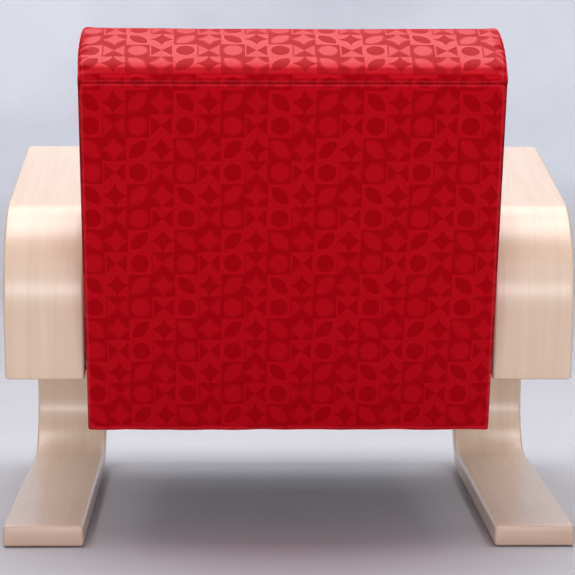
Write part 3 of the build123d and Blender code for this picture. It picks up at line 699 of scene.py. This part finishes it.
def side_frame(name, node):
    """One bent strip, with its edges and ends rounded, as a swept mesh."""
    low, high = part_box(node)
    centre_x = (low.x + high.x) / 2
    path, lengths = strip_path()
    section = strip_section()
    shift = Vector((high.y - path[0].x, low.z + STRIP_THICKNESS / 2))
    rings = []
    end_steps = 4
    for index, (point, length) in enumerate(zip(path, lengths)):
        before = path[max(index - 1, 0)]
        after = path[min(index + 1, len(path) - 1)]
        way = (after - before).normalized()
        outward = Vector((-way.y, way.x)) * -1
        last = index in (0, len(path) - 1)
        insets = [(0.0, 0.0)]
        if last:
            angles = [radians(90) * k / end_steps for k in range(end_steps + 1)]
            insets = [(STRIP_END * (1 - cos(a)), STRIP_END * (sin(a) - 1)) for a in angles]
            if index == 0:
                insets = [(inset, -move) for inset, move in reversed(insets)]
        for inset, move in insets:
            rings.append((point + way * move, outward, length + move, inset))
    mesh = bpy.data.meshes.new(name)
    build = bmesh.new()
    grain = build.verts.layers.float_vector.new("grain")
    loops = []
    half_width, half_thickness = STRIP_WIDTH / 2, STRIP_THICKNESS / 2
    for place, outward, length, inset in rings:
        loop = []
        for across, through in section:
            across *= (half_width - inset) / half_width
            through *= (half_thickness - inset) / half_thickness
            flat = place + outward * through + shift
            vert = build.verts.new((centre_x + across, flat.x, flat.y))
            vert[grain] = (length, across + centre_x * 3.7, through)
            loop.append(vert)
        loops.append(loop)
    count = len(section)
    for one, two in zip(loops, loops[1:]):
        for k in range(count):
            build.faces.new((one[k], one[(k + 1) % count], two[(k + 1) % count], two[k]))
    build.faces.new(loops[0])
    build.faces.new(loops[-1])
    bmesh.ops.recalc_face_normals(build, faces=build.faces)
    build.to_mesh(mesh)
    build.free()
    mesh.shade_smooth()
    mesh.set_sharp_from_angle(angle=radians(50))
    piece = make_object(name, mesh, "birch_laminate")
    finish_piece(piece, node)
    return piece


for side_name in ("left", "right"):
    side_frame(side_name + "_bent_birch_frame", side_name + "_side_frame")


# ---------------------------------------------------------------- upholstery

def smooth(value, low, high):
    """0 up to low, 1 from high on, with an eased rise between."""
    share = min(max((value - low) / (high - low), 0.0), 1.0)
    return share * share * (3 - 2 * share)


def block(name, outline, half_width):
    """A closed block in its own measures: x, then along and up its side view."""
    mesh = bpy.data.meshes.new(name)
    count = len(outline)
    points = [(side * half_width, a, b) for side in (-1, 1) for a, b in outline]
    faces = [tuple(range(count)), tuple(range(2 * count - 1, count - 1, -1))]
    for k in range(count):
        after = (k + 1) % count
        faces.append((k, after, count + after, count + k))
    mesh.from_pydata(points, [], faces)
    build = bmesh.new()
    build.from_mesh(mesh)
    bmesh.ops.recalc_face_normals(build, faces=build.faces)
    build.to_mesh(mesh)
    build.free()
    return make_object(name, mesh, "red_satin")


def plump(piece, travel):
    """Fill a closed piece under air pressure; travel tells how far a point of it may move."""
    remesh = piece.modifiers.new("remesh", "REMESH")
    remesh.mode = "VOXEL"
    remesh.voxel_size = VOXEL
    mesh = bake_modifiers(piece)
    rest = [vertex.co.copy() for vertex in mesh.vertices]
    limits = [travel(point) for point in rest]
    held = piece.vertex_groups.new(name="held")
    still = [k for k, most in enumerate(limits) if most <= HELD_TRAVEL]
    held.add(still, 1.0, "REPLACE")
    cloth = piece.modifiers.new("fill", "CLOTH")
    cloth.settings.quality = 5
    cloth.settings.use_pressure = True
    cloth.settings.uniform_pressure_force = FILL_PRESSURE
    cloth.settings.vertex_group_mass = "held"
    cloth.settings.effector_weights.gravity = 0
    cloth.point_cache.frame_end = FILL_FRAMES
    for number in range(1, FILL_FRAMES + 1):
        bpy.context.scene.frame_set(number)
    mesh = bake_modifiers(piece)
    bpy.context.scene.frame_set(1)
    for vertex, start, most in zip(mesh.vertices, rest, limits):
        move = vertex.co - start
        if move.length > 0:
            vertex.co = start + move.normalized() * most * (1 - math.exp(-move.length / most))
    relax = piece.modifiers.new("relax", "SMOOTH")
    relax.factor = 0.5
    relax.iterations = 2
    finer = piece.modifiers.new("finer", "SUBSURF")
    finer.levels = 1
    finer.render_levels = 1
    return bake_modifiers(piece)


def near_outline(outline, points):
    """For points in side view: how far each is from a closed outline, and how far round it."""
    starts = np.array([tuple(p) for p in outline])
    ends = np.roll(starts, -1, axis=0)
    spans = ends - starts
    squares = (spans ** 2).sum(axis=1)
    rounds = np.concatenate([[0.0], np.cumsum(np.sqrt(squares))])
    best = np.full(len(points), np.inf)
    place = np.zeros(len(points))
    for start, span, square, before, after in zip(starts, spans, squares, rounds, rounds[1:]):
        share = np.clip(((points - start) @ span) / square, 0.0, 1.0)
        gap = np.linalg.norm(points - start - share[:, None] * span, axis=1)
        nearer = gap < best
        best[nearer] = gap[nearer]
        place[nearer] = (before + share * (after - before))[nearer]
    return best, place, rounds[-1]


def read_points(mesh):
    """The mesh's points as rows of three."""
    points = np.empty(len(mesh.vertices) * 3)
    mesh.vertices.foreach_get("co", points)
    return points.reshape(-1, 3)


def write_points(mesh, points):
    mesh.vertices.foreach_set("co", points.ravel())
    mesh.update()


def write_seam(mesh, distance):
    """Keep how close each point is to a seam: 1 on it, 0 from SEAM_REACH on."""
    # The satin paints shade where closeness is near 1 and a highlight on the ridge just beside it
    closeness = np.clip(1 - distance / SEAM_REACH, 0.0, 1.0)
    layer = mesh.attributes.new("seam", "FLOAT", "POINT")
    layer.data.foreach_set("value", closeness.astype(np.float32))


def write_cloth(mesh, across, along, total, side_map):
    """Lay the cloth's own map, in metres, on a mesh of four-cornered faces."""
    corners = np.empty(len(mesh.loops), dtype=np.int32)
    mesh.loops.foreach_get("vertex_index", corners)
    corners = corners.reshape(-1, 4)
    u, v = across[corners], along[corners]
    v = v - total * np.round((v - v[:, :1]) / total)
    normals = np.empty(len(mesh.polygons) * 3)
    mesh.polygons.foreach_get("normal", normals)
    sideways = np.abs(normals.reshape(-1, 3)[:, 0]) > 0.7
    u = np.where(sideways[:, None], side_map[0][corners], u)
    v = np.where(sideways[:, None], side_map[1][corners], v)
    layer = mesh.uv_layers.new(name="cloth")
    layer.data.foreach_set("uv", np.stack([u, v], axis=-1).ravel().astype(np.float32))


def settle(piece, side, points):
    """Put a piece's own measures into its mesh, turned and placed in the chair."""
    mesh = piece.data
    turned = np.empty_like(points)
    turned[:, 0] = points[:, 0]
    for axis in (0, 1):
        turned[:, 1 + axis] = (
            side.origin[axis] + points[:, 1] * side.along[axis] + points[:, 2] * side.up[axis]
        )
    write_points(mesh, turned)
    mesh.shade_smooth()


def ripple(points, size, seed):
    """A soft unevenness from -1 to 1 at each point, for hand-stretched cloth."""
    offset = Vector((seed * 3.1, seed * 1.7, seed * 0.9))
    return np.array([noise.noise(Vector(p) / size + offset) for p in points])


def narrowing(along):
    """How much slimmer the body is beside the bare timber at the foot of the back."""
    return WOOD_GAP * (1 - np.clip((along - BARE_TIMBER_TOP) / (12 * MM), 0, 1))


def near_end(points):
    """0 over the middle of a cushion, 1 at its two ends."""
    return np.clip((np.abs(points[:, 0]) - END_START) / END_FADE, 0, 1)


def cushion(name, outline, travel, roll_from):
    """A stuffed block under one cover with a seam round each end, gathered above a height."""
    piece = block(name, outline, HALF_WIDTH - 1 * MM)
    mesh = plump(piece, travel)
    points = read_points(mesh)
    gap, place, total = near_outline(outline, points[:, 1:])
    # The ends pull in between their corners
    ends = near_end(points)
    inner = np.clip(gap / (70 * MM), 0, 1)
    points[:, 0] -= np.sign(points[:, 0]) * ends * inner * END_PULL
    edge = np.hypot(HALF_WIDTH - np.abs(points[:, 0]), gap)
    # Gathers run in from the end seams where the cover turns over a roll
    fullness = np.exp(-((edge - 6 * MM) / (8 * MM)) ** 2)
    folds = np.sin(place / GATHER_PITCH * 2 * math.pi + 2.2 * np.sin(place * 31.0))
    folds = np.sign(folds) * np.abs(folds) ** 0.6
    centre = np.array([0.0, *np.mean(np.array([tuple(p) for p in outline]), axis=0)])
    outward = points - centre
    outward[:, 0] = 0
    outward /= np.linalg.norm(outward, axis=1)[:, None]
    gathered = 0.12 + 0.88 * np.clip((points[:, 1] - roll_from) / (25 * MM), 0, 1)
    points += outward * (fullness * folds * gathered * GATHER_DEPTH)[:, None]
    # The end seam lies in a slight ditch
    ditch = np.exp(-(edge / DITCH_WIDTH) ** 2)
    inward = -outward
    inward[:, 0] = -np.sign(points[:, 0])
    points += inward * (ditch * SEAM_DITCH)[:, None]
    points += outward * (ripple(points, 90 * MM, len(name)) * UNEVENNESS)[:, None]
    return piece, points, np.maximum(edge - EDGE_ROUND, 0), place, total


def back_travel(point):
    """How far a point of the back may swell: most at its front and in the roll."""
    ends = smooth(HALF_WIDTH - abs(point.x), *END_BAND)
    depth = smooth(point.z, 25 * MM, 110 * MM)
    top = smooth(BACK_HEIGHT - point.y, 4 * MM, 80 * MM)
    low = smooth(point.y, -40 * MM, 170 * MM)
    roll = smooth(point.y, 480 * MM, 500 * MM) * smooth(point.z, 20 * MM, 60 * MM) * ends
    return (LEAST_TRAVEL + FULLEST_TRAVEL * ends * depth * top * low + ROLL_TRAVEL * roll) * MM


def make_back():
    """The back, with the long roll along its top that stands proud of the rear panel."""
    front = BACK_THICKNESS - BACK_SWELL
    start = filleted(
        [
            (0, COVER_GAP),
            (ROLL_SEAM - 7 * MM, COVER_GAP),
            (ROLL_SEAM, -ROLL_PROUD),
            (BACK_HEIGHT, -ROLL_PROUD),
            (BACK_HEIGHT, front),
            (-BACK_THICKNESS * math.tan(BLOCK_ANGLE), front),
        ],
        [0, 0, 0, ROLL_RADIUS, BACK_FRONT_RADIUS, 0],
        close=True,
    )
    piece, points, edge, place, total = cushion(
        "back_cushion", start, back_travel, BACK_HEIGHT - ROLL_GATHERS
    )
    ends = near_end(points)
    # The top rises towards the sitter, and its ends swell where no arm holds them
    high = np.clip((points[:, 1] - TOP_START) / TOP_FADE, 0, 1)
    depth = np.clip((points[:, 2] - 10 * MM) / (115 * MM), 0, 1)
    points[:, 1] += TOP_RISE * high * np.sin(depth * math.pi / 2)
    middle = np.sin(np.clip(points[:, 2] / front, 0, 1) * math.pi) ** 0.7
    points[:, 0] += np.sign(points[:, 0]) * ends * high * middle * TOP_BULGE
    # Small tucks stand up from the seam over the rear panel
    tucks = ripple(points * np.array([1.0, 0.0, 0.0]), 13 * MM, 4)
    rise = (points[:, 1] - ROLL_SEAM) / (14 * MM)
    tucked = tucks * np.exp(-(rise - 0.6) ** 2 * 4) * TUCK_RISE
    points[:, 2] -= np.where(points[:, 2] < 20 * MM, tucked, 0)
    # The roll's lower lip turns in to the seam over the rear panel
    lip = (points[:, 2] < 12 * MM) & (points[:, 1] > LIP_FOOT) & (points[:, 1] < LIP_TOP)
    rise = np.clip((points[:, 1] - (ROLL_SEAM - 1 * MM)) / (7 * MM), 0, 1)
    round_lip = np.sqrt(1 - (1 - rise) ** 2)
    blend = np.clip((LIP_TOP - points[:, 1]) / (8 * MM), 0, 1)
    wanted = LIP_DEPTH - (LIP_DEPTH + ROLL_PROUD) * round_lip
    points[:, 2] = np.where(lip, points[:, 2] * (1 - blend) + wanted * blend, points[:, 2])
    at_end = np.abs(points[:, 0]) > 240 * MM
    points[:, 0] -= np.sign(points[:, 0]) * narrowing(points[:, 1]) * at_end
    mesh = piece.data
    at_seam = np.where(points[:, 2] < 15 * MM, np.abs(points[:, 1] - ROLL_SEAM), 1.0)
    write_seam(mesh, np.minimum(edge, at_seam))
    write_cloth(mesh, points[:, 0], -place, total, (points[:, 2] + 0.7, points[:, 1]))
    settle(piece, back_side, points)
    finish_piece(
        piece, "back_cover", "back_side_cover_left", "back_side_cover_right",
        "back_wadding", "back_foam", "side_padding_left", "side_padding_right",
    )


def seat_travel(point):
    """How far a point of the seat may swell: most on its top and at its front edge."""
    ends = smooth(HALF_WIDTH - abs(point.x), *END_BAND)
    height = smooth(point.z, 60 * MM, 150 * MM)
    rear = smooth(seat_depth_line(BACK_THICKNESS, point.z) - point.y, 2 * MM, 60 * MM)
    front = smooth(point.z, 20 * MM, 90 * MM) * smooth(60 * MM - point.y, 0, 40 * MM) * ends
    top = FULLEST_TRAVEL * ends * height * rear * smooth(point.y, -10 * MM, 60 * MM)
    return (LEAST_TRAVEL + top + FRONT_TRAVEL * front) * MM


def make_seat():
    """The seat, rolled over its front edge and sprung up towards its middle."""
    top = SEAT_THICKNESS - COVER_GAP
    low = 1.5 * MM
    start = filleted(
        [
            (COVER_GAP, low),
            (COVER_GAP, top),
            (seat_depth_line(BACK_THICKNESS, top) + TUCK, top),
            (seat_depth_line(BACK_THICKNESS, low) + TUCK, low),
        ],
        [3 * MM, SEAT_FRONT_RADIUS, 0, 0],
        close=True,
    )
    piece, points, edge, place, total = cushion("seat_cushion", start, seat_travel, SEAT_LENGTH)
    mesh = piece.data
    write_seam(mesh, edge)
    write_cloth(mesh, points[:, 0], place, total, (points[:, 1] + 0.9, points[:, 2]))
    settle(piece, seat_side, points)
    finish_piece(
        piece, "seat_cover", "seat_side_cover_left", "seat_side_cover_right",
        "seat_wadding", "seat_foam",
    )


def run_of(line):
    """The length along a line of points, up to each of them."""
    return np.concatenate([[0.0], np.cumsum(np.linalg.norm(np.diff(line, axis=0), axis=1))])


def stretched(name, rows, half_width, wrap, slot, shape):
    """A stretched sheet: rows in side view, carried across, with its side edges turned in.

    rows are (along, up, inward along, inward up); shape moves a grid point (x, along, up).
    """
    turn = [(0.0, wrap), (0.0, wrap * 0.5), (0.25 * MM, 1.2 * MM), (1.1 * MM, 0.3 * MM)]
    middle_count = round(2 * half_width / SHEET_PITCH)
    columns = [(-half_width + inset, depth) for inset, depth in turn]
    inner = half_width - 2.6 * MM
    columns += [(-inner + 2 * inner * k / middle_count, 0.0) for k in range(middle_count + 1)]
    columns += [(half_width - inset, depth) for inset, depth in reversed(turn)]
    points = np.array([
        (x, a + depth * in_a, b + depth * in_b)
        for a, b, in_a, in_b in rows for x, depth in columns
    ])
    points = shape(points)
    wide = len(columns)
    faces = [
        (r * wide + c, r * wide + c + 1, (r + 1) * wide + c + 1, (r + 1) * wide + c)
        for r in range(len(rows) - 1) for c in range(wide - 1)
    ]
    mesh = bpy.data.meshes.new(name)
    mesh.from_pydata([tuple(p) for p in points], [], faces)
    grid = points.reshape(len(rows), wide, 3)
    across = run_of(grid[len(rows) // 2])
    along = run_of(grid[:, wide // 2])
    u = np.tile(across - across[-1] / 2, len(rows))
    v = np.repeat(along, wide)
    piece = make_object(name, mesh, slot)
    write_cloth(mesh, u, v, 1e6, (u, v))
    return piece, points, (across[-1], along[-1])


def thicken(piece, thickness, outside):
    """Give a sheet its thickness, away from the side that points outside."""
    if piece.data.polygons[len(piece.data.polygons) // 2].normal.dot(outside) < 0:
        piece.data.flip_normals()
    solid = piece.modifiers.new("thickness", "SOLIDIFY")
    solid.thickness = thickness
    solid.offset = -1
    bake_modifiers(piece)
    piece.data.shade_smooth()
    piece.data.set_sharp_from_angle(angle=radians(60))


def make_rear_panel():
    """The panel stretched over the rear of the back, turned under at the foot."""
    # The row line, from its turn under the foot up the rear and in under the roll
    under = Vector((-sin(BLOCK_ANGLE), cos(BLOCK_ANGLE)))
    rows = []
    for k in range(4):
        far = PANEL_RETURN * (1 - k / 4) + 2 * MM
        rows.append((under.x * far - 0.6 * MM, under.y * far, cos(BLOCK_ANGLE), sin(BLOCK_ANGLE)))
    # Round the foot
    rows.append((-0.3 * MM, 1.0 * MM, 0.8, 0.6))
    rows.append((0.4 * MM, 0.3 * MM, 0.5, 0.85))
    rows.append((1.8 * MM, 0.0, 0.0, 1.0))
    count = round((ROLL_SEAM - 6 * MM) / SHEET_PITCH)
    rows += [(2.6 * MM + (ROLL_SEAM - 8 * MM) * k / count, 0.0, 0.0, 1.0) for k in range(count + 1)]
    # In to the seam under the roll
    rows.append((ROLL_SEAM - 3.4 * MM, 0.25 * MM, 0.0, 1.0))
    rows.append((ROLL_SEAM - 1.8 * MM, 1.1 * MM, 0.0, 1.0))
    rows.append((ROLL_SEAM - 1.0 * MM, 3.2 * MM, 0.0, 1.0))
    half_width = HALF_WIDTH - 1.6 * MM

    def shape(points):
        from_edge = np.minimum(half_width - np.abs(points[:, 0]), points[:, 1])
        flat = np.clip(from_edge / (60 * MM), 0, 1)
        top = np.clip((ROLL_SEAM - points[:, 1]) / (40 * MM), 0, 1)
        outward = (0.7 + 0.6 * ripple(points, 110 * MM, 5)) * MM * flat * top
        points[:, 2] -= outward
        hem = np.clip(1 - points[:, 1] / (25 * MM), 0, 1)
        wave = ripple(points * np.array([1.0, 0.0, 0.0]), 34 * MM, 2)
        points[:, 1] += wave * HEM_WAVE * hem
        points[:, 0] *= 1 - narrowing(points[:, 1]) / HALF_WIDTH
        return points

    piece, points, flat = stretched(
        "rear_panel", rows, half_width, PANEL_WRAP, "red_satin", shape
    )
    mesh = piece.data
    # The seam closeness also reaches the panel's side edges and turned foot, where the satin paints
    # shade at the edge and a highlight just inside it
    side_gap = half_width - np.abs(points[:, 0])
    foot_gap = np.abs(points[:, 1] - 2 * MM) + 2 * MM
    gaps = np.minimum(np.minimum(side_gap, foot_gap), ROLL_SEAM - points[:, 1])
    write_seam(mesh, np.maximum(gaps, 0))
    settle(piece, back_side, points)
    thicken(piece, PANEL_CLOTH, Vector((0, cos(BACK_LEAN), -sin(BACK_LEAN))))
    finish_piece(piece, "rear_cover")


def make_dust_lining():
    """The dark lining tacked under the seat, with a folded hem and a slight sag."""
    low, high = LINING_FRONT, LINING_REAR
    first, length = low + 1 * MM, high - low - 2 * MM
    count = 68
    rows = [(first + length * k / count, 1.1 * MM, 0.0, 1.0) for k in range(count + 1)]
    half_width = HALF_WIDTH - 2.6 * MM

    def shape(points):
        end_gap = np.minimum(points[:, 1] - low, high - points[:, 1])
        edge = np.minimum(half_width - np.abs(points[:, 0]), end_gap)
        hem = np.clip(edge / (14 * MM), 0, 1)
        sag = np.clip(edge / (200 * MM), 0, 1)
        points[:, 2] -= (0.5 * (1 - hem) + sag * (2.0 + 0.8 * ripple(points, 70 * MM, 9))) * MM
        return points

    piece, points, flat = stretched(
        "dust_lining", rows, half_width, LINING_WRAP, "black_cambric", shape
    )
    settle(piece, seat_side, points)
    thicken(piece, LINING_CLOTH, Vector((0, -sin(SEAT_SLOPE), -cos(SEAT_SLOPE))))
    finish_piece(piece, "dust_cover")


make_back()
make_seat()
make_rear_panel()
make_dust_lining()

# ---------------------------------------------------------------- lights

make_camera()
make_stage()
area_light("overhead", (0, 0.2, 2.8), (0, 0.2, 0), (3.0, 1.4), 64)
area_light("sky_beyond", (0.1, -1.3, 2.75), (0, 0.3, 0.5), (3.2, 1.2), 34)
area_light("rear_key", (-0.3, 3.5, 2.2), (0, 0.3, 0.3), (2.2, 1.4), 12)
area_light("rear_fill", (0.2, 4.2, 0.48), (0, 0.3, 0.3), (4.8, 0.9), 90)
area_light("wall_wash", (0, -3.4, 3.6), (0, WALL_Y, 1.2), (5.0, 1.0), 84)
world = bpy.data.worlds.new("soft_room")
world.use_nodes = True
world.node_tree.nodes["Background"].inputs["Color"].default_value = (0.86, 0.89, 0.95, 1)
world.node_tree.nodes["Background"].inputs["Strength"].default_value = 0.35
bpy.context.scene.world = world
bpy.context.scene.view_settings.view_transform = "Standard"
